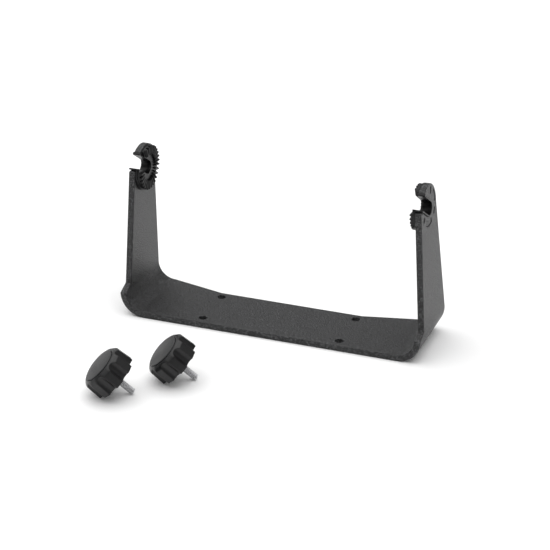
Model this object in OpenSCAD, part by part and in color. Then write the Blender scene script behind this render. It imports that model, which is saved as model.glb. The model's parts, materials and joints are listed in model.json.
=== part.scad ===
// Bail mounting bracket for a chartplotter display, with its two ratchet inserts
// and two loose clamping knobs that lie on the floor in front of it.
// Origin: centre of the four base screw holes, on the underside of the base.
// +X to the right, +Y to the rear, +Z up.

/* [Base] */
// Screw hole spacing along the base
hole_pitch_x = 134; // [120:1:150]
// Screw hole spacing across the base
hole_pitch_y = 47; // [44:0.5:50]
// Diameter of each screw hole
hole_d = 7.5; // [5:0.5:9]
// Thickness of the bent plate
plate_t = 6; // [4:0.1:7]
// Front edge of the base, ahead of the hole centre
base_front = 33.2; // [30:0.2:36]
// Rear edge of the base between the flares
base_rear = 31.8; // [29:0.1:34]
// Where the rear edge starts to flare out to the arms
flare_start = 70; // [66:1:80]
// Rear edge at the foot of each arm
flare_rear = 44.4; // [42:0.2:46]

/* [Arms] */
// Outer width where the leaning arm faces meet the floor plane
foot_width = 295.2; // [280:0.4:310]
// Inward lean of each arm, in degrees
arm_lean = 3.24; // [2:0.02:4]
// Outer radius of the bend at the foot of each arm
bend_r = 22.8; // [18:0.2:26]
// Height where the front edge starts to step back
step_low = 23; // [20:1:30]
// Height where the front edge has stepped back
step_high = 28; // [26:1:36]
// Front edge of the arm above the step
arm_front_low = 21.3; // [19:0.1:22]
// Front edge of the arm level with the top of its head
arm_front_top = 19.6; // [18:0.1:20]
// Rearward drift of the rear edge per unit of height
rear_slope = 0.165; // [0.1:0.005:0.2]

/* [Pivot] */
// Pivot centre, behind the base hole centre
pivot_y = 3.3; // [2:0.1:5]
// Pivot centre above the underside
pivot_z = 137.5; // [130:0.1:145]
// Radius of the rounded arm head around the pivot
head_r = 22.1; // [21.6:0.1:24]
// Radius of the slot's round seat
seat_r = 6.2; // [5.5:0.1:7]
// Rise of the slot towards the front, in degrees
slot_rise = 33.3; // [28:0.1:38]
// Height of the flat land in front of the slot
land_z = 143.3; // [142:0.1:144]

/* [Ratchet insert] */
// Radius of the toothed drum
drum_r = 21; // [19:0.1:21.5]
// How far the teeth stand in from the arm at pivot height
drum_h = 5.9; // [4.5:0.1:7]
// Number of face teeth in a full turn
tooth_count = 30; // [24:6:36]
// Height of each tooth
tooth_h = 2.5; // [1:0.1:3]
// Radius of the smooth hub inside the teeth
hub_r = 11.5; // [10:0.1:12]
// Radius of the foot flange against the arm
flange_r = 21.9; // [21.5:0.1:22.1]
// Wall of the sleeve that lines the slot in the arm
sleeve_t = 1.4; // [1:0.1:2]

/* [Knob] */
// Radius over the lobes at the underside
knob_r = 22.2; // [21:0.1:24]
// Radius over the lobes where the top bevel starts
knob_top_r = 21.4; // [20:0.1:23]
// Height of the fluted side
side_h = 15.5; // [14:0.1:18]
// Height of the top bevel
bevel_h = 3.6; // [2:0.1:5]
// Radius at the top of the bevel
rim_r = 17.4; // [16:0.1:19]
// Number of lobes
lobe_count = 8; // [6:1:9]
// Radius of each concave flute
flute_r = 5.6; // [4:0.1:7]
// Distance of the flute centres from the knob's axis
flute_at = 24.6; // [24:0.1:27]
// Radius of the face cap
cap_r = 16.2; // [13:0.1:16.6]
// Length of stud below the knob
stud_len = 20.6; // [15:0.1:25]
// Thread diameter
stud_d = 6; // [5:0.5:8]
// Across flats of the stud's hexagon head
hex_af = 10; // [9:0.5:12]

/* [Knobs as they lie] */
// Underside centre of the left knob, X
left_knob_x = -85.5; // [-120:0.5:-70]
// Underside centre of the left knob, Y
left_knob_y = -177.8; // [-220:0.1:-120]
// Underside centre of the right knob, X
right_knob_x = -44.2; // [-60:0.1:0]
// Underside centre of the right knob, Y
right_knob_y = -134.2; // [-170:0.1:-110]
// Direction in which the studs point, from +X towards +Y
stud_heading = 24.7; // [0:0.1:45]
// Turn of each knob about its stud
knob_roll = -96.5; // [-110:0.5:-90]

/* [Hidden] */
$fn = 96;

foot_x = foot_width / 2;
inner_r = bend_r - plate_t;
// centre of each bend, from the tangent condition on the leaning outer face
bend_x = (foot_x * cos(arm_lean) - bend_r * (1 + sin(arm_lean))) / cos(arm_lean);
reach = 200;
arm_rise = 170;

// slot directions in the Y-Z plane: along the slot to the front, and square to it
slot_u = [-cos(slot_rise), sin(slot_rise)];
slot_n = [sin(slot_rise), cos(slot_rise)];
pivot = [pivot_y, pivot_z];
drum_tip = 12.9;
drum_tip_angle = 65;
metal_tip = 18.5;
metal_tip_angle = 80;
tip_run = 14;
// free height under the lip that the sleeve ends in, ahead of the slot
lip_gap = 1.1;

// planes of the insert, which is built true to X while the arm leans
inner_x = foot_x - pivot_z * tan(arm_lean) - plate_t / cos(arm_lean);
crest_x = inner_x - drum_h;
root_x = crest_x + tooth_h;
hub_x = root_x - 0.1;
flange_x = inner_x - 1.8;
tooth_w = 2.2;
bead_h = 0.8;
lap = 0.5;
window_gap = 0.1;
lug_recess = 0.6;

// windows in the arm: [inner radius, outer radius, from angle, to angle]
windows = [
    [15.4, 19.2, 3, 44],
    [14.6, 18, -38, -18],
    [11.6, 16.4, -130, -65],
    [13.2, 19, 66, 76],
    [14, 18.4, -167, -153]
];

// knob levels above the underside
top_z = side_h + bevel_h;
cap_seat_z = 16.6;
cap_edge_z = 19.9;
cap_dome = 0.7;
cap_gap = 0.2;
hex_seat_z = 12.4;
bore_gap = 0.05;
shank_d = stud_d + 0.8;
core_in = 8.5;
core_out = 15.5;
core_h = 10;
rib_t = 1.8;
tip_chamfer = 0.6;

// A knob stands on the corner of one lobe and on the end of its stud
lobe_corner = 6;
stand_r = knob_r * cos(lobe_corner);
tip_r = stud_d / 2 - tip_chamfer;
knob_tilt = atan((stand_r - tip_r) / stud_len);
knob_z = stand_r * cos(knob_tilt);

// Extrudes a Y-Z outline along X between two X values
module along_x(x0, x1) {
    translate([x0, 0, 0])
        rotate([90, 0, 90])
            linear_extrude(x1 - x0) children();
}

// Local frame of the right arm: X = 0 is its outer face
module arm_frame() {
    translate([foot_x, 0, 0])
        rotate([0, -arm_lean, 0]) children();
}

module both_sides() {
    children();
    mirror([1, 0, 0]) children();
}

// Half of the bent plate's section in X-Z
module half_section() {
    square([bend_x, plate_t]);
    translate([bend_x, bend_r])
        intersection() {
            difference() {
                circle(bend_r);
                circle(inner_r);
            }
            polygon([
                [0, 0], [0, -reach], [reach, -reach],
                [reach * cos(arm_lean), reach * sin(arm_lean)]
            ]);
        }
    translate([foot_x, 0])
        rotate(arm_lean)
            translate([-plate_t, bend_r])
                square([plate_t, arm_rise - bend_r]);
}

// Outline of the base seen from above
module base_outline() {
    half = [
        [flare_start, base_rear],
        [bend_x, flare_rear],
        [foot_x, flare_rear],
        [foot_x, -base_front]
    ];
    polygon(concat(half, [for (i = [3:-1:0]) [-half[i].x, half[i].y]]));
}

function rear_at(z) = flare_rear + rear_slope * (bend_r - z);

// Space that the arms fill between their rear edge and a front that is cut later
module arm_space() {
    neck_z = pivot_z + 1;
    along_x(-reach - 1, reach + 1) translate(pivot) circle(head_r);
    along_x(-reach, reach)
        polygon([
            [-reach, -1], [-reach, land_z + 3], [pivot_y, land_z + 3],
            [rear_at(neck_z), neck_z], [rear_at(bend_r), bend_r],
            [reach, bend_r], [reach, -1]
        ]);
}

// Everything behind the stepped front edge of the base and the arms
module front_edge_space() {
    head_top = pivot_z + head_r + 5;
    along_x(-reach, reach)
        polygon([
            [-base_front, -2], [-base_front, step_low],
            [-arm_front_low, step_high], [-arm_front_top, head_top],
            [reach + 1, head_top], [reach + 1, -2]
        ]);
}

// The slot and its mouth, which opens to the front
module slot_outline(r, land, tip, angle) {
    upper = pivot + r * slot_n;
    lower = pivot - r * slot_n;
    hook = upper + tip * slot_u;
    hook_top = hook + tip_run * [-cos(angle), sin(angle)];
    land_edge = lower + (land - lower.y) / slot_u.y * slot_u;
    translate(pivot) circle(r);
    polygon([
        upper, hook, hook_top, [-reach, hook_top.y],
        [-reach, land], land_edge, lower
    ]);
}

module metal_slot() {
    slot_outline(seat_r + sleeve_t, land_z - sleeve_t - lip_gap, metal_tip, metal_tip_angle);
}

// Ring sector about the pivot, grown or shrunk by g
module window_outline(w, g) {
    translate(pivot)
        intersection() {
            difference() {
                circle(w[1] + g);
                circle(w[0] - g);
            }
            polygon([
                [0, 0],
                reach * [cos(w[2]), sin(w[2])],
                reach * [cos((w[2] + w[3]) / 2), sin((w[2] + w[3]) / 2)],
                reach * [cos(w[3]), sin(w[3])]
            ]);
        }
}

module screw_holes() {
    for (sx = [-1, 1], sy = [-1, 1])
        translate([sx * hole_pitch_x / 2, sy * hole_pitch_y / 2, -1])
            cylinder(d = hole_d, h = plate_t + 2);
}

module arm_cuts() {
    along_x(foot_x - 40, foot_x + 5) {
        metal_slot();
        for (w = windows) window_outline(w, 0);
    }
}

module bracket() {
    color("#3b3d40")
        difference() {
            intersection() {
                rotate([90, 0, 0])
                    linear_extrude(2 * reach, center = true) {
                        half_section();
                        mirror([1, 0]) half_section();
                    }
                translate([0, 0, -1])
                    linear_extrude(reach) base_outline();
                arm_space();
                front_edge_space();
            }
            screw_holes();
            both_sides() arm_cuts();
        }
}

// One face tooth, a ridge that runs out from the hub
module tooth() {
    rotate([90, 0, 90])
        linear_extrude(drum_r - hub_r - 0.5)
            polygon([[-tooth_w / 2, 0], [tooth_w / 2, 0], [0, tooth_h]]);
}

module teeth() {
    for (i = [0:tooth_count - 1])
        rotate(i * 360 / tooth_count)
            translate([hub_r + 0.2, 0, 0]) tooth();
}

// Toothed drum on its foot flange, cut to the leaning face of the arm
module drum() {
    difference() {
        translate([0, pivot_y, pivot_z])
            rotate([0, 90, 0]) {
                translate([0, 0, root_x]) cylinder(r = drum_r, h = 12);
                translate([0, 0, hub_x]) cylinder(r = hub_r, h = 12);
                translate([0, 0, flange_x]) cylinder(r = flange_r, h = 8);
                translate([0, 0, root_x]) mirror([0, 0, 1]) teeth();
            }
        arm_frame()
            translate([-plate_t, -reach / 2, 0])
                cube([60, reach, arm_rise + 20]);
        along_x(0, foot_x) slot_outline(seat_r, land_z, drum_tip, drum_tip_angle);
    }
}

// Sleeve and lugs that key the insert into the arm
module sleeve() {
    intersection() {
        along_x(crest_x, foot_x + 5)
            difference() {
                slot_outline(seat_r + sleeve_t - window_gap,
                             land_z - sleeve_t + window_gap,
                             metal_tip + window_gap, metal_tip_angle);
                slot_outline(seat_r, land_z, metal_tip + sleeve_t, metal_tip_angle);
            }
        along_x(0, reach) translate(pivot) circle(head_r);
        front_edge_space();
        arm_frame()
            translate([-plate_t - lap, -reach / 2, 0])
                cube([plate_t + lap + bead_h, reach, arm_rise + 20]);
    }
}

module lugs() {
    intersection() {
        along_x(crest_x, foot_x + 5)
            for (w = windows) window_outline(w, -window_gap);
        arm_frame()
            translate([-plate_t - lap, -reach / 2, 0])
                cube([plate_t + lap - lug_recess, reach, arm_rise + 20]);
    }
}

module ratchet() {
    color("#26272a") {
        drum();
        sleeve();
        lugs();
    }
}

module left_ratchet() {
    mirror([1, 0, 0]) ratchet();
}

module right_ratchet() {
    ratchet();
}

// Places a knob, built with its underside at Z = 0 and its top up, where it lies
module lying_at(x, y) {
    translate([x, y, knob_z])
        rotate([0, knob_tilt - 90, stud_heading])
            rotate(knob_roll) children();
}

module flutes() {
    for (i = [0:lobe_count - 1])
        rotate(i * 360 / lobe_count)
            translate([flute_at, 0, -1])
                cylinder(r = flute_r, h = top_z + 2, $fn = 48);
}

module core_pockets() {
    difference() {
        translate([0, 0, -1])
            difference() {
                cylinder(r = core_out, h = core_h + 1);
                cylinder(r = core_in, h = core_h + 2);
            }
        for (i = [0:lobe_count / 2 - 1])
            rotate((i + 0.5) * 360 / lobe_count)
                translate([-core_out, -rib_t / 2, -1])
                    cube([2 * core_out, rib_t, core_h + 2]);
    }
}

module grip() {
    color("#1d1e20")
        difference() {
            union() {
                cylinder(r1 = knob_r, r2 = knob_top_r, h = side_h);
                translate([0, 0, side_h])
                    cylinder(r1 = knob_top_r, r2 = rim_r, h = bevel_h);
            }
            flutes();
            core_pockets();
            translate([0, 0, cap_seat_z]) cylinder(r = cap_r + cap_gap, h = 5);
            translate([0, 0, hex_seat_z])
                cylinder(d = (hex_af + 2 * bore_gap) / cos(30), h = 6, $fn = 6);
            translate([0, 0, -1]) cylinder(d = shank_d + 2 * bore_gap, h = top_z);
        }
}

module cap() {
    edge_h = cap_edge_z - cap_seat_z;
    dome_r = (cap_r * cap_r + cap_dome * cap_dome) / (2 * cap_dome);
    color("#242528")
        translate([0, 0, cap_seat_z])
            intersection() {
                cylinder(r = cap_r, h = edge_h + cap_dome);
                translate([0, 0, edge_h + cap_dome - dome_r]) sphere(dome_r, $fn = 200);
            }
}

module stud() {
    color("#c9ccd0") {
        translate([0, 0, hex_seat_z])
            cylinder(d = hex_af / cos(30), h = cap_seat_z - hex_seat_z, $fn = 6);
        cylinder(d = shank_d, h = hex_seat_z);
        translate([0, 0, tip_chamfer - stud_len])
            cylinder(d = stud_d, h = stud_len - tip_chamfer);
        translate([0, 0, -stud_len])
            cylinder(r1 = tip_r, r2 = stud_d / 2, h = tip_chamfer);
    }
}

module left_knob_grip() { lying_at(left_knob_x, left_knob_y) grip(); }
module left_knob_cap() { lying_at(left_knob_x, left_knob_y) cap(); }
module left_knob_stud() { lying_at(left_knob_x, left_knob_y) stud(); }
module right_knob_grip() { lying_at(right_knob_x, right_knob_y) grip(); }
module right_knob_cap() { lying_at(right_knob_x, right_knob_y) cap(); }
module right_knob_stud() { lying_at(right_knob_x, right_knob_y) stud(); }

bracket();
left_ratchet();
right_ratchet();
left_knob_grip();
left_knob_cap();
left_knob_stud();
right_knob_grip();
right_knob_cap();
right_knob_stud();
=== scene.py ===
"""Looks of the display bracket and its two clamping knobs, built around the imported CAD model."""

import json
import math

import bmesh
import bpy
import numpy as np
from mathutils import Matrix, Vector
from mathutils.geometry import tessellate_polygon


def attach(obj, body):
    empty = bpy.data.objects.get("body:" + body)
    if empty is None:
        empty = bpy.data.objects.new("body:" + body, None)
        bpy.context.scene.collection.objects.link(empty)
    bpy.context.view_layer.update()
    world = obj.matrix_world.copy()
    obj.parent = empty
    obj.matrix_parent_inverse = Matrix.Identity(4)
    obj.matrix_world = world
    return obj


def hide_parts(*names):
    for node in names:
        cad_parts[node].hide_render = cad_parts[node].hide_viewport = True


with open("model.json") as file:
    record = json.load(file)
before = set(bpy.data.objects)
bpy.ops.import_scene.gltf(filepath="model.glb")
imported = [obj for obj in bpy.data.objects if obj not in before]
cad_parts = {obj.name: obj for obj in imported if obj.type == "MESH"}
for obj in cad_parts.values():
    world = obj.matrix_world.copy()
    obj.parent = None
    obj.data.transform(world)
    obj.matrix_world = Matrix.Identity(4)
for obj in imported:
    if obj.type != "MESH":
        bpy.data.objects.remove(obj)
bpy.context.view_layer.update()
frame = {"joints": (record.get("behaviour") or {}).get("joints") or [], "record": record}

MM = 0.001
MOUNTS = {m["name"]: m for m in frame["record"]["mounts"]}
JOINTS = {j["name"]: j for j in frame["joints"]}

# ---------------------------------------------------------------- sizes, in millimetres
PLATE = 6.0
LEAN = math.radians(3.24)
FOOT_X = 147.6
BEND_R = 22.8
BASE_FRONT = -33.2
BASE_REAR = 31.8
FLARE_X = 70.0
FLARE_REAR = 44.4
STEP_LOW = 23.0
STEP_HIGH = 28.0
FRONT_LOW = -21.3
FRONT_TOP = -19.6
REAR_SLOPE = 0.165
HEAD_R = 22.1
LAND_RISE = 5.8
SLOT_RISE = math.radians(33.3)
SLEEVE = 1.4
METAL_TIP = 18.5
METAL_TIP_ANGLE = math.radians(80)
DRUM_TIP = 12.9
DRUM_TIP_ANGLE = math.radians(65)
TIP_RUN = 14.0
LIP_GAP = 1.1
PLATE_EDGE = 0.9

DRUM_R = 21.0
DRUM_H = 5.9
TOOTH_H = 2.5
TEETH = 30
HUB_R = 11.5
FLANGE_R = 21.9
BEAD = 0.8
LUG_RECESS = 0.6
LAP = 0.5
WINDOW_GAP = 0.1
# windows in the arm: inner radius, outer radius, from angle, to angle
WINDOWS = ((15.4, 19.2, 3, 44), (14.6, 18, -38, -18), (11.6, 16.4, -130, -65), (13.2, 19, 66, 76),
           (14, 18.4, -167, -153))

KNOB_R = 22.2
KNOB_TOP_R = 21.4
SIDE_H = 15.5
BEVEL_H = 3.6
RIM_R = 17.4
LOBES = 8
FLUTE_R = 5.6
FLUTE_AT = 24.6
LOBE_FLAT = math.radians(8.5)
CAP_R = 16.2
CAP_SEAT = 16.6
HEAD_SEAT = 12.4
BORE_R = 3.45
CAP_EDGE = 19.9
CAP_DOME = 0.7
STUD_LEN = 20.6
HEX_FLATS = 10
KNOB_ROLL = math.radians(-96.5)

PIVOT_Y = MOUNTS["right_display_seat"]["pos_m"][1] / MM
PIVOT_Z = MOUNTS["right_display_seat"]["pos_m"][2] / MM
LAND_Z = PIVOT_Z + LAND_RISE
SEAT_R = MOUNTS["right_display_seat"]["dims"]["r_mm"]
HOLES = MOUNTS["base_holes"]["dims"]
STUD_R = MOUNTS["left_stud_end"]["dims"]["r_mm"]

BEND_X = (FOOT_X * math.cos(LEAN) - BEND_R * (1 + math.sin(LEAN))) / math.cos(LEAN)
BEND_TURN = math.pi / 2 + LEAN
BEND_LEN = (BEND_R - PLATE / 2) * BEND_TURN
ARM_S = BEND_X + BEND_LEN
ARM_Z = BEND_R * (1 + math.sin(LEAN))
PIVOT = np.array([PIVOT_Y, PIVOT_Z])
ALONG = np.array([-math.cos(SLOT_RISE), math.sin(SLOT_RISE)])
ACROSS = np.array([math.sin(SLOT_RISE), math.cos(SLOT_RISE)])
INNER_X = FOOT_X - PIVOT_Z * math.tan(LEAN) - PLATE / math.cos(LEAN)
CREST_X = INNER_X - DRUM_H
ROOT_X = CREST_X + TOOTH_H
HUB_X = ROOT_X - 0.1
FLANGE_X = INNER_X - 1.8


# ---------------------------------------------------------------- outlines and plates
def arc(centre, radius, start, end, step=3.0):
    """Points on an arc, angles in degrees."""
    count = max(2, int(abs(end - start) / step) + 1)
    turns = np.radians(np.linspace(start, end, count))
    return [np.array([centre[0] + radius * math.cos(t), centre[1] + radius * math.sin(t)]) for t in turns]


def angle_of(point, centre):
    return math.degrees(math.atan2(point[1] - centre[1], point[0] - centre[0]))


def rounded(points, radius, steps=4):
    """The closed outline with every real corner rounded, as far as its sides allow."""
    out = []
    count = len(points)
    for i in range(count):
        a, b, c = points[i - 1], points[i], points[(i + 1) % count]
        u, v = a - b, c - b
        lu, lv = np.linalg.norm(u), np.linalg.norm(v)
        u, v = u / lu, v / lv
        turn = math.acos(max(-1.0, min(1.0, float(u @ v))))
        if turn > math.radians(165):
            out.append(b)
            continue
        back = min(radius / math.tan(turn / 2), 0.45 * lu, 0.45 * lv)
        r = back * math.tan(turn / 2)
        centre = b + (u + v) / np.linalg.norm(u + v) * (r / math.sin(turn / 2))
        start, end = b + u * back - centre, b + v * back - centre
        for k in range(steps + 1):
            f = k / steps
            p = start * (1 - f) + end * f
            out.append(centre + p / np.linalg.norm(p) * r)
    return out


def area(loop):
    p = np.array(loop)
    q = np.roll(p, -1, axis=0)
    return 0.5 * float(np.sum(p[:, 0] * q[:, 1] - q[:, 0] * p[:, 1]))


def wound(loop, ccw=True):
    return list(loop) if (area(loop) > 0) == ccw else list(loop)[::-1]


def inset(loop, distance):
    """Moves an outline's points inwards, to the left of the way it runs."""
    p = np.array(loop)
    before, after = p - np.roll(p, 1, axis=0), np.roll(p, -1, axis=0) - p
    before /= np.linalg.norm(before, axis=1)[:, None]
    after /= np.linalg.norm(after, axis=1)[:, None]
    n1 = np.stack([-before[:, 1], before[:, 0]], 1)
    n2 = np.stack([-after[:, 1], after[:, 0]], 1)
    mid = n1 + n2
    mid /= np.maximum(np.sum(mid * n1, 1), 0.4)[:, None]
    return p + mid * distance


def edge_steps(depth, near, far, count=3):
    """(inset, level) pairs down a plate's side, with quarter rounds at both faces."""
    steps = []
    for k in range(count + 1):
        t = math.pi / 2 * k / count
        steps.append((near * (1 - math.sin(t)), near * (1 - math.cos(t))))
    for k in range(count + 1):
        t = math.pi / 2 * k / count
        steps.append((far * (1 - math.cos(t)), depth - far * (1 - math.sin(t))))
    return steps


def plate(bm, outer, holes, depth, place, near=0.3, far=0.3):
    """A closed plate with rounded edges. place(u, v, level) gives each point in space."""
    loops = [wound(outer)] + [wound(h, ccw=False) for h in holes]
    steps = edge_steps(depth, near, far)
    rings = []
    for loop in loops:
        rings.append([])
        for inward, level in steps:
            pts = inset(loop, inward)
            rings[-1].append([bm.verts.new(place(u, v, level)) for u, v in pts])
    for ring in rings:
        for lower, upper in zip(ring, ring[1:]):
            for i in range(len(lower)):
                j = (i + 1) % len(lower)
                bm.faces.new((lower[i], lower[j], upper[j], upper[i]))
    for which in (0, -1):
        flat = [[Vector((*p, 0)) for p in inset(loop, steps[which][0])] for loop in loops]
        verts = [v for ring in rings for v in ring[which]]
        for tri in tessellate_polygon(flat):
            tri = [verts[i] for i in tri]
            if len(set(tri)) == 3:
                bm.faces.new(tri)


def finish_mesh(bm, name, smooth_angle=35, weld=1e-6):
    """Makes the object: merged, with outward normals and soft shading over its rounded edges."""
    bmesh.ops.remove_doubles(bm, verts=bm.verts, dist=weld)
    bmesh.ops.dissolve_degenerate(bm, edges=bm.edges, dist=weld)
    bmesh.ops.recalc_face_normals(bm, faces=bm.faces)
    mesh = bpy.data.meshes.new(name)
    bm.to_mesh(mesh)
    bm.free()
    mesh.shade_smooth()
    mesh.set_sharp_from_angle(angle=math.radians(smooth_angle))
    obj = bpy.data.objects.new(name, mesh)
    bpy.context.scene.collection.objects.link(obj)
    weighted = obj.modifiers.new("weighted_normals", "WEIGHTED_NORMAL")
    weighted.keep_sharp = True
    return obj


# ---------------------------------------------------------------- the bracket
def slot_path(r, land, tip, angle, front):
    """The slot's edge in Y-Z, from the land in front, round the seat, to the hook's end face."""
    lower, upper = PIVOT - r * ACROSS, PIVOT + r * ACROSS
    hook = upper + tip * ALONG
    end = hook + TIP_RUN * np.array([-math.cos(angle), math.sin(angle)])
    land_edge = lower + (land - lower[1]) / ALONG[1] * ALONG
    start = angle_of(lower, PIVOT)
    seat = arc(PIVOT, r, start, start + 180, 6)
    return [np.array([front, land]), land_edge] + seat + [hook, end]


def meet_circle(a, b, radius):
    """Where the line from a to b leaves the circle about the pivot."""
    d = (b - a) / np.linalg.norm(b - a)
    f = a - PIVOT
    half = float(f @ d)
    root = math.sqrt(half * half - float(f @ f) + radius * radius)
    return a + d * (root - half)


def rear_at(z):
    return FLARE_REAR + REAR_SLOPE * (BEND_R - z)


def front_at(z):
    top = PIVOT_Z + HEAD_R + 5
    return FRONT_LOW + (FRONT_TOP - FRONT_LOW) * (z - STEP_HIGH) / (top - STEP_HIGH)


def head_edge(path, radius, stop):
    """From the hook's end face over the round head, as far as the rear edge."""
    corner = meet_circle(path[-2], path[-1], radius)
    return path[:-1] + arc(PIVOT, radius, angle_of(corner, PIVOT), stop, 3)


def sheet_s(z):
    """Distance along the flat sheet of a height on the arm."""
    return ARM_S + (z - ARM_Z) / math.cos(LEAN)


def arm_half():
    """The right half of the flat sheet's outline, front edge first, in (distance along, Y)."""
    land = LAND_Z - SLEEVE - LIP_GAP
    neck = np.array([rear_at(PIVOT_Z + 1), PIVOT_Z + 1])
    rear = np.array([rear_at(BEND_R), BEND_R])
    meet = meet_circle(neck, rear, HEAD_R)
    slot = slot_path(SEAT_R + SLEEVE, land, METAL_TIP, METAL_TIP_ANGLE, front_at(land))
    edge = head_edge(slot, HEAD_R, angle_of(meet, PIVOT))
    arm = [(STEP_LOW, BASE_FRONT), (STEP_HIGH, FRONT_LOW)] + [(p[1], p[0]) for p in edge]
    half = [np.array([sheet_s(z), y]) for z, y in arm]
    half.append(np.array([ARM_S, rear_at(BEND_R)]))
    half.append(np.array([BEND_X, FLARE_REAR]))
    half.append(np.array([FLARE_X, BASE_REAR]))
    return half


def sector(inner, outer, start, end, grow=0.0):
    ring = arc(PIVOT, outer + grow, start, end) + arc(PIVOT, inner - grow, end, start)
    return rounded(ring, 0.5)


def fold(s, y, level):
    """Bends a point of the flat sheet into the U; level 0 is the outer face."""
    side = -1.0 if s < 0 else 1.0
    a = abs(s)
    if a <= BEND_X:
        x, z = a, level
    else:
        turn = min((a - BEND_X) / BEND_LEN, 1.0) * BEND_TURN
        r = BEND_R - level
        run = max(a - ARM_S, 0.0)
        blend = min(run / 15.0, 1.0)
        run += level * math.tan(LEAN) * blend * blend * (3 - 2 * blend)
        x = BEND_X + r * math.sin(turn) - run * math.sin(LEAN)
        z = BEND_R - r * math.cos(turn) + run * math.cos(LEAN)
    return side * x * MM, y * MM, z * MM


def screw_hole(sx, sy):
    x, y = sx * HOLES["spacing_x_mm"] / 2, sy * HOLES["spacing_y_mm"] / 2
    return arc((x, y), HOLES["hole_r_mm"], 0, 352.5, 7.5)


def make_bracket():
    half = arm_half()
    mirrored = [np.array([-p[0], p[1]]) for p in half[::-1]]
    outline = rounded(half + mirrored, 1.2)
    holes = [screw_hole(sx, sy) for sx in (-1, 1) for sy in (-1, 1)]
    for window in WINDOWS:
        flat = [np.array([sheet_s(p[1]), p[0]]) for p in sector(*window)]
        holes.append(flat)
        holes.append([np.array([-p[0], p[1]]) for p in flat])
    bm = bmesh.new()
    plate(bm, outline, holes, PLATE, lambda u, v, w: (u, v, w), PLATE_EDGE, PLATE_EDGE)
    cuts = [BEND_X + BEND_LEN * k / 20 for k in range(21)] + [ARM_S + k * 2.5 for k in range(1, 8)]
    cuts += [30.0 * k for k in range(5)] + [ARM_S + 20.0 * k for k in range(1, 6)]
    for cut in cuts:
        for side in (-1, 1):
            everything = bm.verts[:] + bm.edges[:] + bm.faces[:]
            bmesh.ops.bisect_plane(bm, geom=everything, plane_co=(side * cut, 0, 0), plane_no=(1, 0, 0))
    for v in bm.verts:
        v.co = fold(*v.co)
    return finish_mesh(bm, "bracket_plate")


# ---------------------------------------------------------------- the ratchet inserts
def insert_place(front_x, depth, side):
    """Places an insert's outline: level 0 at front_x, the last level on the leaning inner face."""
    def place(y, z, level):
        face = FOOT_X - z * math.tan(LEAN) - PLATE / math.cos(LEAN)
        x = front_x + level / depth * (face - front_x)
        return side * x * MM, y * MM, z * MM
    return place


def through_place(start, side):
    """Places an outline that runs through the arm: levels measured from its inner face."""
    def place(y, z, level):
        face = FOOT_X - z * math.tan(LEAN) - PLATE / math.cos(LEAN)
        return side * (face + start + level) * MM, y * MM, z * MM
    return place


def c_outline(radius, tip, corner=0.5):
    """A disc about the pivot with the slot and mouth cut out of it."""
    path = slot_path(SEAT_R, LAND_Z, tip, DRUM_TIP_ANGLE, -radius)
    land = path[1]
    start = meet_circle(land, np.array([-radius * 2, LAND_Z]), radius)
    corner_up = meet_circle(path[-2], path[-1], radius)
    rim = arc(PIVOT, radius, angle_of(corner_up, PIVOT), angle_of(start, PIVOT) - 360, 2.5)
    return rounded(path[1:-1] + rim, corner)


def hub_outline():
    """The smooth ring round the seat, cut by the slot."""
    r = SEAT_R
    lower, upper = PIVOT - r * ACROSS, PIVOT + r * ACROSS
    low_end = lower + math.sqrt(HUB_R ** 2 - r ** 2) * ALONG
    high_end = upper + math.sqrt(HUB_R ** 2 - r ** 2) * ALONG
    start = angle_of(lower, PIVOT)
    seat = arc(PIVOT, r, start, start + 180, 6)
    outer = arc(PIVOT, HUB_R, angle_of(high_end, PIVOT), angle_of(low_end, PIVOT) - 360, 4)
    return rounded([low_end] + seat + outer[:-1], 0.3)


def in_slot(y, z, margin):
    """Whether a point on the toothed face is in the slot, its mouth, or too near their edges."""
    p = np.array([y, z]) - PIVOT
    along, across = float(p @ ALONG), float(p @ ACROSS)
    if along > 0 and abs(across) < SEAT_R + margin:
        return True
    if math.hypot(*p) < SEAT_R + margin:
        return True
    hook = PIVOT + SEAT_R * ACROSS + DRUM_TIP * ALONG
    normal = np.array([-math.sin(DRUM_TIP_ANGLE), -math.cos(DRUM_TIP_ANGLE)])
    before_hook = float((np.array([y, z]) - hook) @ normal) > -margin
    return before_hook and z > LAND_Z - margin and y < 0


def tooth(bm, turn, r0, r1, side):
    """One face tooth from radius r0 to r1, wider at the rim, with a small flat crest."""
    sections = []
    for r, drop in ((r0, 1.2), (r0 + 1.0, 0.15), (r1 - 0.3, 0.0), (r1, 0.3)):
        foot, crest = 0.088 * r, 0.018 * r
        height = TOOTH_H - drop
        ring = []
        for across, up in ((-foot, -0.3), (-crest - 0.1, height - 0.15), (-crest, height),
                           (crest, height), (crest + 0.1, height - 0.15), (foot, -0.3)):
            y = PIVOT_Y + r * math.cos(turn) - across * math.sin(turn)
            z = PIVOT_Z + r * math.sin(turn) + across * math.cos(turn)
            ring.append(bm.verts.new((side * (ROOT_X - up) * MM, y * MM, z * MM)))
        sections.append(ring)
    for a, b in zip(sections, sections[1:]):
        for i in range(6):
            j = (i + 1) % 6
            bm.faces.new((a[i], a[j], b[j], b[i]))
    bm.faces.new(sections[0][::-1])
    bm.faces.new(sections[-1])


def make_teeth(bm, side):
    for k in range(TEETH):
        turn = 2 * math.pi * k / TEETH
        free = []
        for r in np.arange(HUB_R + 0.4, DRUM_R - 0.04, 0.1):
            y, z = PIVOT_Y + r * math.cos(turn), PIVOT_Z + r * math.sin(turn)
            if not in_slot(y, z, 0.065 * r):
                free.append(r)
        if len(free) > 20:
            tooth(bm, turn, free[0], free[-1], side)


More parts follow.
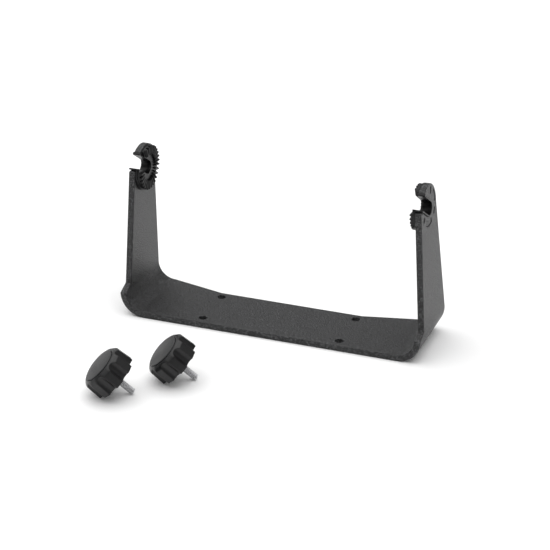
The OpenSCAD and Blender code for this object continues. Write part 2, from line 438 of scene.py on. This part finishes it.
def sleeve_outline():
    """The strip that lines the slot where it passes through the arm."""
    gap = 0.05
    front = PIVOT_Y - math.sqrt(HEAD_R ** 2 - (LAND_Z - PIVOT_Z) ** 2)
    inner = slot_path(SEAT_R, LAND_Z, METAL_TIP + SLEEVE, METAL_TIP_ANGLE, front)
    outer = slot_path(SEAT_R + SLEEVE - gap, LAND_Z - SLEEVE + gap, METAL_TIP, METAL_TIP_ANGLE, front)
    inner[-1] = meet_circle(inner[-2], inner[-1], HEAD_R)
    outer[-1] = meet_circle(outer[-2], outer[-1], HEAD_R)
    return rounded(inner + outer[::-1], 0.3)


def make_ratchet(name, node, side):
    bm = bmesh.new()
    drum_depth = INNER_X - ROOT_X
    plate(bm, c_outline(DRUM_R, DRUM_TIP), [], drum_depth,
          insert_place(ROOT_X, drum_depth, side), 0.25, 0.05)
    flange_depth = INNER_X - FLANGE_X
    plate(bm, c_outline(FLANGE_R, DRUM_TIP + 1.5), [], flange_depth,
          insert_place(FLANGE_X, flange_depth, side), 0.6, 0.05)
    plate(bm, hub_outline(), [], ROOT_X + 0.3 - HUB_X,
          lambda y, z, w: (side * (HUB_X + w) * MM, y * MM, z * MM), 0.25, 0.05)
    make_teeth(bm, side)
    through = PLATE / math.cos(LEAN)
    plate(bm, sleeve_outline(), [], through + LAP + BEAD, through_place(-LAP, side), 0.05, 0.4)
    for window in WINDOWS:
        lug = sector(*window, grow=-WINDOW_GAP)
        plate(bm, lug, [], through + LAP - LUG_RECESS, through_place(-LAP, side), 0.05, 0.3)
    obj = finish_mesh(bm, name, 30)
    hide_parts(node)
    return obj


# ---------------------------------------------------------------- the knobs
def knob_place(joint):
    """From a knob's own frame, underside at the origin and top along +Z, to where it lies."""
    axis = -Vector(joint["axis"])
    heading = math.atan2(-axis.y, -axis.x)
    tilt = math.asin(axis.z)
    turn = Matrix.Rotation(heading, 4, "Z") @ Matrix.Rotation(tilt - math.pi / 2, 4, "Y")
    return Matrix.Translation(joint["pos_m"]) @ turn @ Matrix.Rotation(KNOB_ROLL, 4, "Z")


def lathe(bm, turns, rows, place, closed=True):
    """A surface from rows of (radius, height) values, one row per level, one column per turn."""
    rings = [[bm.verts.new(place @ Vector((r * math.cos(t) * MM, r * math.sin(t) * MM, h * MM)))
              for t, r, h in zip(turns, radii, heights)] for radii, heights in rows]
    pairs = list(zip(rings, rings[1:] + rings[:1])) if closed else list(zip(rings, rings[1:]))
    for a, b in pairs:
        for i in range(len(a)):
            j = (i + 1) % len(a)
            bm.faces.new((a[i], a[j], b[j], b[i]))
    return rings


def soft_min(a, b, k):
    h = np.clip(0.5 + 0.5 * (b - a) / k, 0, 1)
    return b * (1 - h) + a * h - k * h * (1 - h)


def flute_limit(turns):
    """Distance from the axis to the flutes' surfaces, in each direction."""
    pitch = 2 * math.pi / LOBES
    off = (turns + pitch / 2) % pitch - pitch / 2
    reach = FLUTE_R ** 2 - (FLUTE_AT * np.sin(off)) ** 2
    limit = FLUTE_AT * np.cos(off) - np.sqrt(np.maximum(reach, 0))
    return np.where(reach > 0, limit, limit + 40 * (np.abs(off) - math.asin(FLUTE_R / FLUTE_AT)))


def make_grip(name, node, place):
    count = LOBES * 48
    turns = np.linspace(0, 2 * math.pi, count, endpoint=False)
    ones = np.ones(count)
    flutes = flute_limit(turns)
    pitch = 2 * math.pi / LOBES
    facet = np.cos(LOBE_FLAT) / np.cos(turns % pitch - math.pi / LOBES)

    def outer(radius, inward=0.0):
        return soft_min(radius * np.minimum(facet, 1.0), flutes, 0.35) - inward

    off = np.abs(turns % pitch - pitch / 2)
    rib = 1 / (1 + np.exp((off - math.radians(4.5)) / math.radians(0.35)))
    deep = 10.0 * (1 - rib)
    lip, wall = np.minimum(0.3, deep), np.maximum(deep - 0.4, 0)
    rows = [(r * ones, h * ones) for r, h in (
        (BORE_R, 0.3), (3.7, 0), (8.2, 0), (8.5, lip), (8.7, wall), (9.2, deep),
        (14.9, deep), (15.4, wall), (15.6, lip), (15.9, 0))]
    for inward, h in ((0.8, 0.0), (0.4, 0.08), (0.12, 0.3), (0.0, 0.7)):
        rows.append((outer(KNOB_R, inward), h * ones))
    for f in np.linspace(0.1, 0.95, 9):
        rows.append((outer(KNOB_R + (KNOB_TOP_R - KNOB_R) * f), (0.7 + (SIDE_H - 0.7) * f) * ones))
    for f in np.linspace(0, 1, 17):
        bow = 0.35 * math.sin(math.pi * f)
        radius = KNOB_TOP_R + (RIM_R - KNOB_TOP_R) * f
        rows.append((outer(radius + bow), (SIDE_H + BEVEL_H * f + bow * 0.6) * ones))
    top = SIDE_H + BEVEL_H
    for r, h in ((RIM_R - 0.3, top - 0.02), (CAP_R + 0.5, top - 0.1), (CAP_R + 0.22, top - 0.25),
                 (CAP_R + 0.12, top - 0.5), (CAP_R + 0.12, CAP_SEAT + 0.2), (CAP_R - 0.1, CAP_SEAT),
                 (6.0, CAP_SEAT), (5.5, HEAD_SEAT), (BORE_R, HEAD_SEAT)):
        rows.append((r * ones, h * ones))
    bm = bmesh.new()
    lathe(bm, turns, rows, place)
    obj = finish_mesh(bm, name, 40)
    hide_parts(node)
    return obj


def make_cap(name, node, place):
    count = 128
    turns = np.linspace(0, 2 * math.pi, count, endpoint=False)
    ones = np.ones(count)
    rows = [(r * ones, h * ones) for r, h in (
        (0.02, CAP_SEAT), (CAP_R - 0.3, CAP_SEAT), (CAP_R, CAP_SEAT + 0.3), (CAP_R, CAP_EDGE - 0.7),
        (CAP_R - 0.09, CAP_EDGE - 0.35), (CAP_R - 0.35, CAP_EDGE - 0.09), (CAP_R - 0.7, CAP_EDGE + 0.03))]
    for f in np.linspace(0.05, 0.998, 22):
        r = (CAP_R - 0.7) * (1 - f)
        rows.append((r * ones, (CAP_EDGE + 0.03 + (CAP_DOME - 0.05) * (1 - (r / (CAP_R - 0.7)) ** 2)) * ones))
    bm = bmesh.new()
    lathe(bm, turns, rows, place)
    obj = finish_mesh(bm, name, 40)
    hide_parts(node)
    return obj


def make_stud(name, node, place):
    """M6 x 1 thread below the knob, a plain shank inside it, and a hexagon head under the cap."""
    pitch, depth, columns, per_turn = 1.0, 0.56, 48, 10
    bm = bmesh.new()
    turns = np.linspace(0, 2 * math.pi, columns, endpoint=False)
    levels = int((STUD_LEN + 2 * pitch) / pitch * per_turn)
    rows = []
    for k in range(levels + 1):
        base = -STUD_LEN - pitch + k * pitch / per_turn
        z = base + pitch * turns / (2 * math.pi)
        phase = k % per_turn / per_turn
        cut = depth * max(0.0, 1 - abs(phase - 0.5) / 0.42)
        z = np.clip(z, -STUD_LEN, 0.0)
        into = z + STUD_LEN
        fade = np.clip(into / 1.2, 0, 1)
        radius = np.minimum(STUD_R - 0.02 - cut * fade, STUD_R - 0.62 + into)
        rows.append((radius, z))
    ones = np.ones(columns)
    lead = [(r * ones, -STUD_LEN * ones) for r in (0.02, STUD_R - 0.7)]
    shank = [(r * ones, h * ones) for r, h in ((3.4, 0.05), (3.4, HEAD_SEAT), (0.02, HEAD_SEAT))]
    rings = lathe(bm, turns, lead + rows + shank, place, closed=False)
    bm.faces.new(rings[0][::-1])
    bm.faces.new(rings[-1])
    corner = HEX_FLATS / math.sqrt(3)
    corners = [math.radians(60 * i) for i in range(6)]
    hexagon = [np.array([math.cos(t), math.sin(t)]) * corner for t in corners]
    plate(bm, rounded(hexagon, 0.3), [], CAP_SEAT - HEAD_SEAT,
          lambda x, y, w: place @ Vector((x * MM, y * MM, (HEAD_SEAT + w) * MM)), 0.2, 0.4)
    obj = finish_mesh(bm, name, 40)
    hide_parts(node)
    return obj


# ---------------------------------------------------------------- materials
def new_material(name, roughness, metallic=0.0, specular=0.5):
    material = bpy.data.materials.new(name)
    material.use_nodes = True
    shader = material.node_tree.nodes["Principled BSDF"]
    shader.inputs["Roughness"].default_value = roughness
    shader.inputs["Metallic"].default_value = metallic
    shader.inputs["Specular IOR Level"].default_value = specular
    return material, material.node_tree, shader


def node(tree, kind, **values):
    made = tree.nodes.new(kind)
    for key, value in values.items():
        if key in made.inputs:
            made.inputs[key].default_value = value
        else:
            setattr(made, key, value)
    return made


def object_coordinates(tree):
    return tree.nodes.new("ShaderNodeTexCoord").outputs["Object"]


def noise(tree, vector, scale, detail=3.0, roughness=0.55):
    made = node(tree, "ShaderNodeTexNoise", Scale=scale, Detail=detail, Roughness=roughness)
    tree.links.new(vector, made.inputs["Vector"])
    return made.outputs["Fac"]


def ramp(tree, value, stops):
    made = tree.nodes.new("ShaderNodeValToRGB")
    ends = made.color_ramp.elements
    while len(ends) < len(stops):
        ends.new(0.5)
    for e, (position, colour) in zip(ends, stops):
        e.position = position
        e.color = (*colour, 1) if isinstance(colour, tuple) else (colour, colour, colour, 1)
    tree.links.new(value, made.inputs["Fac"])
    return made.outputs["Color"]


def math_node(tree, operation, a, b):
    made = node(tree, "ShaderNodeMath", operation=operation)
    for socket, value in zip(made.inputs, (a, b)):
        if isinstance(value, (int, float)):
            socket.default_value = value
        else:
            tree.links.new(value, socket)
    return made.outputs["Value"]


def bump(tree, shader, height, strength, distance):
    made = node(tree, "ShaderNodeBump", Strength=strength, Distance=distance)
    tree.links.new(height, made.inputs["Height"])
    tree.links.new(made.outputs["Normal"], shader.inputs["Normal"])


def powder_coat():
    """Dark grey textured powder coat: rounded wrinkle grains, with lighter flecks painted into the colour at
    random as painted highlights for light caught on the grain tops.
    """
    material, tree, shader = new_material("powder_coat_black", 0.36, specular=0.42)
    where = object_coordinates(tree)
    grains = node(tree, "ShaderNodeTexVoronoi", Scale=850.0, Randomness=1.0)
    grains.feature = "SMOOTH_F1"
    grains.inputs["Smoothness"].default_value = 0.3
    tree.links.new(where, grains.inputs["Vector"])
    fine = noise(tree, where, 2400.0, 2.0)
    height = math_node(tree, "ADD", math_node(tree, "MULTIPLY", grains.outputs["Distance"], -1.0),
                       math_node(tree, "MULTIPLY", fine, 0.35))
    # painted highlights: the lighter flecks in the base colour stand in for light caught on the grain tops;
    # the same noise also sets the roughness
    painted_sheen_noise = noise(tree, where, 680.0, 2.0, 0.8)
    colour = ramp(tree, painted_sheen_noise, [(0.42, (0.004, 0.004, 0.0042)), (0.52, (0.015, 0.015, 0.0155)),
                                (0.62, (0.080, 0.081, 0.084))])
    tree.links.new(colour, shader.inputs["Base Color"])
    rough = ramp(tree, painted_sheen_noise, [(0.38, 0.28), (0.62, 0.52)])
    tree.links.new(rough, shader.inputs["Roughness"])
    bump(tree, shader, height, 0.8, 0.0007)
    return material


def moulded_plastic(name, dark, light, roughness, grain, specular):
    """Black moulded plastic with a fine spark-eroded grain and faint flow marks."""
    material, tree, shader = new_material(name, roughness, specular=specular)
    where = object_coordinates(tree)
    fine = noise(tree, where, 3200.0, 2.0)
    flow = noise(tree, where, 60.0, 4.0, 0.6)
    tree.links.new(ramp(tree, flow, [(0.3, dark), (0.7, light)]), shader.inputs["Base Color"])
    gloss = ramp(tree, flow, [(0.25, roughness - 0.06), (0.75, roughness + 0.08)])
    tree.links.new(gloss, shader.inputs["Roughness"])
    bump(tree, shader, fine, grain, 0.00012)
    return material


def stainless():
    """Stainless steel with turning marks round the thread."""
    material, tree, shader = new_material("stainless_steel", 0.28, metallic=1.0)
    where = object_coordinates(tree)
    marks = noise(tree, where, 1800.0, 3.0)
    tree.links.new(ramp(tree, marks, [(0.3, (0.50, 0.50, 0.51)), (0.7, (0.74, 0.74, 0.75))]),
                   shader.inputs["Base Color"])
    tree.links.new(ramp(tree, marks, [(0.3, 0.2), (0.7, 0.38)]), shader.inputs["Roughness"])
    bump(tree, shader, marks, 0.15, 0.0001)
    return material


def dress(obj, material, body):
    obj.data.materials.clear()
    obj.data.materials.append(material)
    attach(obj, body)


# ---------------------------------------------------------------- assembly
coat = powder_coat()
ratchet_black = moulded_plastic(
    "ratchet_nylon", (0.0015, 0.0015, 0.0017), (0.004, 0.004, 0.0045), 0.36, 0.2, 0.25)
knob_black = moulded_plastic(
    "knob_satin_black", (0.003, 0.003, 0.0032), (0.007, 0.007, 0.0075), 0.34, 0.25, 0.4)
cap_black = moulded_plastic(
    "cap_satin_black", (0.006, 0.006, 0.0065), (0.011, 0.011, 0.012), 0.40, 0.3, 0.4)
steel = stainless()

bracket = make_bracket()
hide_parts("bracket")
dress(bracket, coat, "bracket")
for side_name, sign in (("left", -1), ("right", 1)):
    insert = make_ratchet(side_name + "_ratchet_insert", side_name + "_ratchet", sign)
    dress(insert, ratchet_black, "bracket")
    body = side_name + "_knob"
    spot = knob_place(JOINTS[body + "_turn"])
    dress(make_grip(body + "_body", body + "_grip", spot), knob_black, body)
    dress(make_cap(body + "_face", body + "_cap", spot), cap_black, body)
    dress(make_stud(body + "_thread", body + "_stud", spot), steel, body)


# ---------------------------------------------------------------- floor, light and camera
def make_floor():
    bm = bmesh.new()
    bmesh.ops.create_grid(bm, x_segments=1, y_segments=1, size=6.0)
    mesh = bpy.data.meshes.new("floor")
    bm.to_mesh(mesh)
    bm.free()
    floor = bpy.data.objects.new("floor", mesh)
    bpy.context.scene.collection.objects.link(floor)
    material, tree, shader = new_material("pale_floor", 0.9, specular=0.1)
    shader.inputs["Base Color"].default_value = (0.95, 0.95, 0.95, 1)
    floor.data.materials.append(material)


def area_light(name, place, target, size, power):
    data = bpy.data.lights.new(name, "AREA")
    data.shape = "RECTANGLE"
    data.size, data.size_y = size
    data.energy = power
    lamp = bpy.data.objects.new(name, data)
    lamp.location = place
    lamp.rotation_mode = "QUATERNION"
    lamp.rotation_quaternion = (Vector(target) - Vector(place)).to_track_quat("-Z", "Y")
    bpy.context.scene.collection.objects.link(lamp)


def sun(name, toward, strength, spread):
    data = bpy.data.lights.new(name, "SUN")
    data.energy = strength
    data.angle = math.radians(spread)
    lamp = bpy.data.objects.new(name, data)
    lamp.rotation_mode = "QUATERNION"
    lamp.rotation_quaternion = Vector(toward).to_track_quat("Z", "Y")
    bpy.context.scene.collection.objects.link(lamp)


def make_world(levels):
    """A studio that is dim near the horizon and brighter overhead; 0.5 is the horizon."""
    world = bpy.data.worlds.new("studio")
    world.use_nodes = True
    tree = world.node_tree
    background = tree.nodes["Background"]
    split = tree.nodes.new("ShaderNodeSeparateXYZ")
    tree.links.new(tree.nodes.new("ShaderNodeTexCoord").outputs["Generated"], split.inputs["Vector"])
    height = math_node(tree, "MULTIPLY_ADD", split.outputs["Z"], 0.5)
    height.node.inputs[2].default_value = 0.5
    tree.links.new(ramp(tree, height, levels), background.inputs["Color"])
    bpy.context.scene.world = world


def make_camera(azimuth, elevation, distance, aim, lens):
    a, e = math.radians(azimuth), math.radians(elevation)
    back = Vector((math.sin(a) * math.cos(e), -math.cos(a) * math.cos(e), math.sin(e)))
    data = bpy.data.cameras.new("camera")
    data.lens = lens
    data.sensor_width = 36.0
    data.clip_end = 50.0
    camera = bpy.data.objects.new("camera", data)
    camera.location = Vector(aim) + back * distance
    camera.rotation_mode = "QUATERNION"
    camera.rotation_quaternion = (-back).to_track_quat("-Z", "Y")
    bpy.context.scene.collection.objects.link(camera)
    bpy.context.scene.camera = camera


make_floor()
make_world([(0.50, 0.02), (0.56, 0.04), (0.66, 0.40), (0.78, 0.62), (1.0, 0.62)])
sun("overhead", (-0.14, 0.05, 1.0), 2.2, 90)
area_light("left", (-1.7, 1.15, 0.5), (0, 0, 0.05), (2.0, 1.1), 3)
bpy.context.scene.view_settings.view_transform = "Standard"
make_camera(20.55, 25.394, 1.9839, (-0.0106, 0.0168, 0.0412), 139.65)
